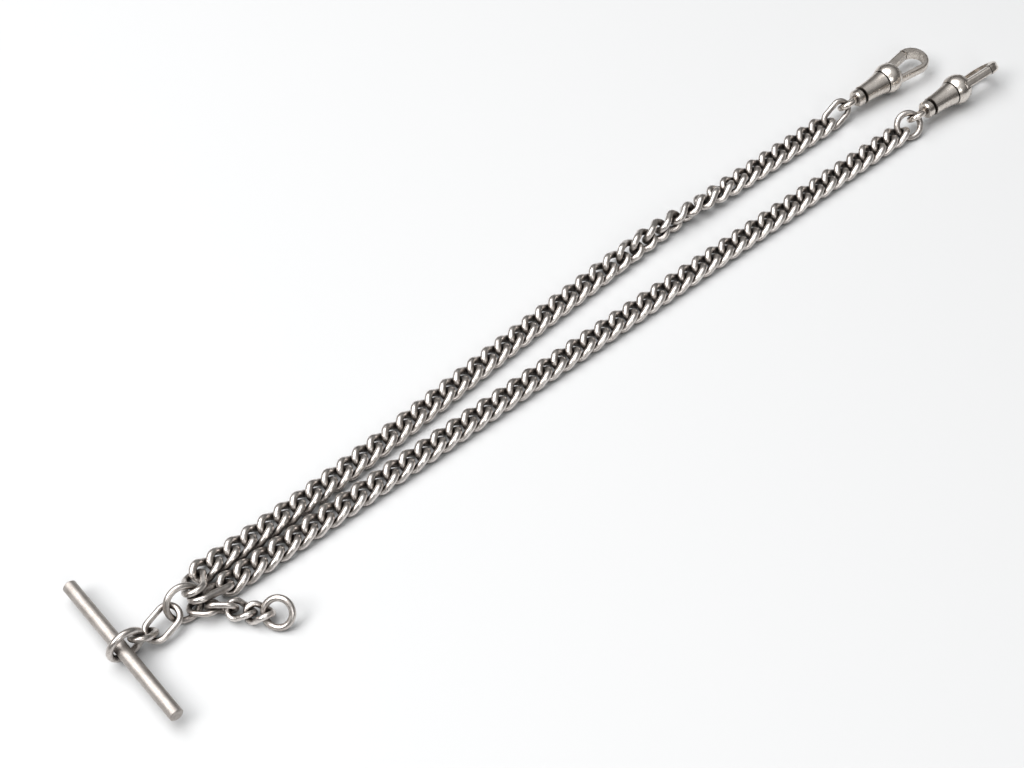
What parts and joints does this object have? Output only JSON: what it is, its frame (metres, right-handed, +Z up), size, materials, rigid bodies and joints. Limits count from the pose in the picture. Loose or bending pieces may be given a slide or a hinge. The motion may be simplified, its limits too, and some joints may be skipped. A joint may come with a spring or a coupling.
{
  "type": "pocket watch chain",
  "caption": "Double curb-link watch chain with a T-bar, a short drop chain and a sprung swivel clip on the end of each strand.",
  "frame": {"origin": "under the middle of the laid-out chain, on the surface it lies on", "axes": "+X along the chains from the T-bar to the swivel clips, +Y across them towards the second chain, +Z up"},
  "size_m": [0.2598, 0.0384, 0.0088],
  "materials": {
    "curb_silver": "worn",
    "ring_silver": "worn",
    "bar_silver": "satin",
    "clip_silver": "satin",
    "gate_spring": "satin"
  },
  "bodies": {
    "bar_ring": {"bar_ring": "ring_silver"},
    "drop_end_ring": {"drop_end_ring": "ring_silver"},
    "drop_link_1": {"drop_link_1": "ring_silver"},
    "drop_link_2": {"drop_link_2": "ring_silver"},
    "drop_link_3": {"drop_link_3": "curb_silver"},
    "drop_link_4": {"drop_link_4": "curb_silver"},
    "first_link": {"first_link": "ring_silver"},
    "junction_ring": {"junction_ring": "ring_silver"},
    "lower_chain_01": {"lower_chain_01": "curb_silver"},
    "lower_chain_02": {"lower_chain_02": "curb_silver"},
    "lower_chain_03": {"lower_chain_03": "curb_silver"},
    "lower_chain_04": {"lower_chain_04": "curb_silver"},
    "lower_chain_05": {"lower_chain_05": "curb_silver"},
    "lower_chain_06": {"lower_chain_06": "curb_silver"},
    "lower_chain_07": {"lower_chain_07": "curb_silver"},
    "lower_chain_08": {"lower_chain_08": "curb_silver"},
    "lower_chain_09": {"lower_chain_09": "curb_silver"},
    "lower_chain_10": {"lower_chain_10": "curb_silver"},
    "lower_chain_11": {"lower_chain_11": "curb_silver"},
    "lower_chain_12": {"lower_chain_12": "curb_silver"},
    "lower_chain_13": {"lower_chain_13": "curb_silver"},
    "lower_chain_14": {"lower_chain_14": "curb_silver"},
    "lower_chain_15": {"lower_chain_15": "curb_silver"},
    "lower_chain_16": {"lower_chain_16": "curb_silver"},
    "lower_clip": {"lower_clip_body": "clip_silver", "lower_gate_pin": "clip_silver", "lower_gate_spring": "gate_spring"},
    "lower_clip_gate": {"lower_clip_gate": "clip_silver"},
    "lower_end_ring": {"lower_end_ring": "ring_silver"},
    "lower_long_link": {"lower_long_link": "ring_silver"},
    "lower_swivel_eye": {"lower_swivel_eye": "clip_silver"},
    "second_link": {"second_link": "ring_silver"},
    "t_bar": {"t_bar": "bar_silver"},
    "upper_chain_01": {"upper_chain_01": "curb_silver"},
    "upper_chain_02": {"upper_chain_02": "curb_silver"},
    "upper_chain_03": {"upper_chain_03": "curb_silver"},
    "upper_chain_04": {"upper_chain_04": "curb_silver"},
    "upper_chain_05": {"upper_chain_05": "curb_silver"},
    "upper_chain_06": {"upper_chain_06": "curb_silver"},
    "upper_chain_07": {"upper_chain_07": "curb_silver"},
    "upper_chain_08": {"upper_chain_08": "curb_silver"},
    "upper_chain_09": {"upper_chain_09": "curb_silver"},
    "upper_chain_10": {"upper_chain_10": "curb_silver"},
    "upper_chain_11": {"upper_chain_11": "curb_silver"},
    "upper_chain_12": {"upper_chain_12": "curb_silver"},
    "upper_chain_13": {"upper_chain_13": "curb_silver"},
    "upper_chain_14": {"upper_chain_14": "curb_silver"},
    "upper_chain_15": {"upper_chain_15": "curb_silver"},
    "upper_clip": {"upper_clip_body": "clip_silver", "upper_gate_pin": "clip_silver", "upper_gate_spring": "gate_spring"},
    "upper_clip_gate": {"upper_clip_gate": "clip_silver"},
    "upper_end_link": {"upper_end_link": "ring_silver"},
    "upper_long_link": {"upper_long_link": "ring_silver"},
    "upper_swivel_eye": {"upper_swivel_eye": "clip_silver"}
  },
  "joints": [
    {"name": "second_link_swing", "type": "hinge", "parent": "junction_ring", "child": "second_link", "pos_m": [-0.11442, 0.0021, 0.00438], "axis": [0, 1, 0], "range_deg": [-18, 2]},
    {"name": "first_link_swing", "type": "hinge", "parent": "second_link", "child": "first_link", "pos_m": [-0.11969, -0.00107, 0.0024], "axis": [0, 1, 0], "range_deg": [-4, 18]},
    {"name": "bar_ring_swing", "type": "hinge", "parent": "first_link", "child": "bar_ring", "pos_m": [-0.12253, -0.0007, 0.00558], "axis": [0, 0, 1], "range_deg": [-4, 18]},
    {"name": "t_bar_toggle", "type": "hinge", "parent": "bar_ring", "child": "t_bar", "pos_m": [-0.12648, 0, 0.00384], "axis": [0, 0, 1], "range_deg": [-18, 18]},
    {"name": "drop_link_1_sway", "type": "hinge", "parent": "junction_ring", "child": "drop_link_1", "pos_m": [-0.1108, -0.00077, 0.00151], "axis": [0, 0, 1], "range_deg": [-15, 3]},
    {"name": "drop_link_2_sway", "type": "hinge", "parent": "drop_link_1", "child": "drop_link_2", "pos_m": [-0.10787, -0.00352, 0.00334], "axis": [0, 0, 1], "range_deg": [-20, 4]},
    {"name": "drop_link_3_lift", "type": "hinge", "parent": "drop_link_2", "child": "drop_link_3", "pos_m": [-0.1048, -0.00502, 0.00129], "axis": [0, 1, 0], "range_deg": [-18, 18]},
    {"name": "drop_link_4_sway", "type": "hinge", "parent": "drop_link_3", "child": "drop_link_4", "pos_m": [-0.10035, -0.0083, 0.00177], "axis": [0, 0, 1], "range_deg": [-12, 10]},
    {"name": "drop_end_ring_lift", "type": "hinge", "parent": "drop_link_4", "child": "drop_end_ring", "pos_m": [-0.09926, -0.00933, 0.00235], "axis": [0, 1, 0], "range_deg": [-20, 10]},
    {"name": "lower_long_link_lift", "type": "hinge", "parent": "junction_ring", "child": "lower_long_link", "pos_m": [-0.10792, 0.00091, 0.00312], "axis": [0, 1, 0], "range_deg": [-16, 3]},
    {"name": "upper_long_link_lift", "type": "hinge", "parent": "junction_ring", "child": "upper_long_link", "pos_m": [-0.10824, 0.00075, 0.00607], "axis": [0, 1, 0], "range_deg": [-2, 8]},
    {"name": "lower_chain_01_lift", "type": "hinge", "parent": "lower_long_link", "child": "lower_chain_01", "pos_m": [-0.10116, 0.00147, 0.00179], "axis": [0, 1, 0], "range_deg": [-3, 9]},
    {"name": "lower_chain_02_sway", "type": "hinge", "parent": "lower_chain_01", "child": "lower_chain_02", "pos_m": [-0.08937, 0, 0.00182], "axis": [0, 0, 1], "range_deg": [-10, 0]},
    {"name": "lower_chain_03_lift", "type": "hinge", "parent": "lower_chain_02", "child": "lower_chain_03", "pos_m": [-0.07662, 0, 0.00182], "axis": [0, -1, 0], "range_deg": [-10, 10]},
    {"name": "lower_chain_04_sway", "type": "hinge", "parent": "lower_chain_03", "child": "lower_chain_04", "pos_m": [-0.06388, 0, 0.00182], "axis": [0, 0, 1], "range_deg": [-10, 0]},
    {"name": "lower_chain_05_lift", "type": "hinge", "parent": "lower_chain_04", "child": "lower_chain_05", "pos_m": [-0.05112, 0, 0.00182], "axis": [0, 1, 0], "range_deg": [-10, 10]},
    {"name": "lower_chain_06_sway", "type": "hinge", "parent": "lower_chain_05", "child": "lower_chain_06", "pos_m": [-0.03837, 0, 0.00182], "axis": [0, 0, 1], "range_deg": [-10, 0]},
    {"name": "lower_chain_07_lift", "type": "hinge", "parent": "lower_chain_06", "child": "lower_chain_07", "pos_m": [-0.02562, 0, 0.00182], "axis": [0, -1, 0], "range_deg": [-10, 10]},
    {"name": "lower_chain_08_sway", "type": "hinge", "parent": "lower_chain_07", "child": "lower_chain_08", "pos_m": [-0.01287, 0, 0.00182], "axis": [0, 0, 1], "range_deg": [-10, 0]},
    {"name": "lower_chain_09_lift", "type": "hinge", "parent": "lower_chain_08", "child": "lower_chain_09", "pos_m": [-0.00013, 0, 0.00182], "axis": [0, 1, 0], "range_deg": [-10, 10]},
    {"name": "lower_chain_10_sway", "type": "hinge", "parent": "lower_chain_09", "child": "lower_chain_10", "pos_m": [0.01263, 0, 0.00182], "axis": [0, 0, 1], "range_deg": [-10, 0]},
    {"name": "lower_chain_11_lift", "type": "hinge", "parent": "lower_chain_10", "child": "lower_chain_11", "pos_m": [0.02538, 0, 0.00182], "axis": [0, -1, 0], "range_deg": [-10, 10]},
    {"name": "lower_chain_12_sway", "type": "hinge", "parent": "lower_chain_11", "child": "lower_chain_12", "pos_m": [0.03812, 0, 0.00182], "axis": [0, 0, 1], "range_deg": [-10, 0]},
    {"name": "lower_chain_13_lift", "type": "hinge", "parent": "lower_chain_12", "child": "lower_chain_13", "pos_m": [0.05087, 0, 0.00182], "axis": [0, 1, 0], "range_deg": [-10, 10]},
    {"name": "lower_chain_14_sway", "type": "hinge", "parent": "lower_chain_13", "child": "lower_chain_14", "pos_m": [0.06363, 0, 0.00182], "axis": [0, 0, 1], "range_deg": [-10, 0]},
    {"name": "lower_chain_15_lift", "type": "hinge", "parent": "lower_chain_14", "child": "lower_chain_15", "pos_m": [0.07637, 0, 0.00182], "axis": [0, -1, 0], "range_deg": [-10, 10]},
    {"name": "lower_chain_16_sway", "type": "hinge", "parent": "lower_chain_15", "child": "lower_chain_16", "pos_m": [0.08912, 0, 0.00182], "axis": [0, 0, 1], "range_deg": [-10, 0]},
    {"name": "upper_chain_01_lift", "type": "hinge", "parent": "upper_long_link", "child": "upper_chain_01", "pos_m": [-0.10535, 0.00653, 0.00139], "axis": [0, 1, 0], "range_deg": [-3, 10]},
    {"name": "upper_chain_02_sway", "type": "hinge", "parent": "upper_chain_01", "child": "upper_chain_02", "pos_m": [-0.09198, 0.00596, 0.00182], "axis": [0, 0, 1], "range_deg": [0, 10]},
    {"name": "upper_chain_03_lift", "type": "hinge", "parent": "upper_chain_02", "child": "upper_chain_03", "pos_m": [-0.07923, 0.00635, 0.00182], "axis": [0, -1, 0], "range_deg": [-10, 10]},
    {"name": "upper_chain_04_sway", "type": "hinge", "parent": "upper_chain_03", "child": "upper_chain_04", "pos_m": [-0.0665, 0.00704, 0.00182], "axis": [0, 0, 1], "range_deg": [0, 10]},
    {"name": "upper_chain_05_lift", "type": "hinge", "parent": "upper_chain_04", "child": "upper_chain_05", "pos_m": [-0.05378, 0.00795, 0.00182], "axis": [0, 1, 0], "range_deg": [-10, 10]},
    {"name": "upper_chain_06_sway", "type": "hinge", "parent": "upper_chain_05", "child": "upper_chain_06", "pos_m": [-0.04107, 0.00901, 0.00182], "axis": [0, 0, 1], "range_deg": [0, 10]},
    {"name": "upper_chain_07_lift", "type": "hinge", "parent": "upper_chain_06", "child": "upper_chain_07", "pos_m": [-0.02837, 0.01013, 0.00182], "axis": [0, -1, 0], "range_deg": [-10, 10]},
    {"name": "upper_chain_08_sway", "type": "hinge", "parent": "upper_chain_07", "child": "upper_chain_08", "pos_m": [-0.01567, 0.01124, 0.00182], "axis": [0, 0, 1], "range_deg": [0, 10]},
    {"name": "upper_chain_09_lift", "type": "hinge", "parent": "upper_chain_08", "child": "upper_chain_09", "pos_m": [-0.00296, 0.01225, 0.00182], "axis": [0, 1, 0], "range_deg": [-10, 10]},
    {"name": "upper_chain_10_sway", "type": "hinge", "parent": "upper_chain_09", "child": "upper_chain_10", "pos_m": [0.00976, 0.01308, 0.00195], "axis": [0, 0, 1], "range_deg": [0, 10]},
    {"name": "upper_chain_11_lift", "type": "hinge", "parent": "upper_chain_10", "child": "upper_chain_11", "pos_m": [0.0225, 0.01366, 0.0027], "axis": [0, -1, 0], "range_deg": [-10, 6]},
    {"name": "upper_chain_12_sway", "type": "hinge", "parent": "upper_chain_11", "child": "upper_chain_12", "pos_m": [0.03524, 0.01389, 0.00285], "axis": [0, 0, 1], "range_deg": [0, 10]},
    {"name": "upper_chain_13_lift", "type": "hinge", "parent": "upper_chain_12", "child": "upper_chain_13", "pos_m": [0.04799, 0.0139, 0.0025], "axis": [0, 1, 0], "range_deg": [-5, 10]},
    {"name": "upper_chain_14_sway", "type": "hinge", "parent": "upper_chain_13", "child": "upper_chain_14", "pos_m": [0.06074, 0.0139, 0.00186], "axis": [0, 0, 1], "range_deg": [0, 10]},
    {"name": "upper_chain_15_lift", "type": "hinge", "parent": "upper_chain_14", "child": "upper_chain_15", "pos_m": [0.07349, 0.0139, 0.00182], "axis": [0, -1, 0], "range_deg": [-10, 10]},
    {"name": "lower_end_ring_lift", "type": "hinge", "parent": "lower_chain_16", "child": "lower_end_ring", "pos_m": [0.09753, -0.001, 0.002], "axis": [0, 1, 0], "range_deg": [-8, 16]},
    {"name": "lower_swivel_eye_sway", "type": "hinge", "parent": "lower_end_ring", "child": "lower_swivel_eye", "pos_m": [0.10104, 0.00062, 0.00427], "axis": [0, 0, 1], "range_deg": [-8, 8]},
    {"name": "upper_end_link_lift", "type": "hinge", "parent": "upper_chain_15", "child": "upper_end_link", "pos_m": [0.08632, 0.01376, 0.00155], "axis": [0, 1, 0], "range_deg": [-18, 18]},
    {"name": "upper_swivel_eye_sway", "type": "hinge", "parent": "upper_end_link", "child": "upper_swivel_eye", "pos_m": [0.09154, 0.01427, 0.0041], "axis": [0, 0, 1], "range_deg": [-8, 18]},
    {"name": "lower_swivel", "type": "hinge", "parent": "lower_swivel_eye", "child": "lower_clip", "pos_m": [0.10815, 0, 0.0042], "axis": [1, 0, 0], "continuous": true},
    {"name": "lower_gate_hinge", "type": "hinge", "parent": "lower_clip", "child": "lower_clip_gate", "pos_m": [0.11795, -0.00135, 0.00581], "axis": [0, 0.766, 0.6428], "range_deg": [0, 25], "stiffness_Nm_per_rad": 0.01, "springref_deg": -11.46},
    {"name": "upper_swivel", "type": "hinge", "parent": "upper_swivel_eye", "child": "upper_clip", "pos_m": [0.0986, 0.0139, 0.0038], "axis": [1, 0, 0], "continuous": true},
    {"name": "upper_gate_hinge", "type": "hinge", "parent": "upper_clip", "child": "upper_clip_gate", "pos_m": [0.1084, 0.016, 0.0038], "axis": [0, 0, -1], "range_deg": [0, 25], "stiffness_Nm_per_rad": 0.01, "springref_deg": -11.46}
  ]
}
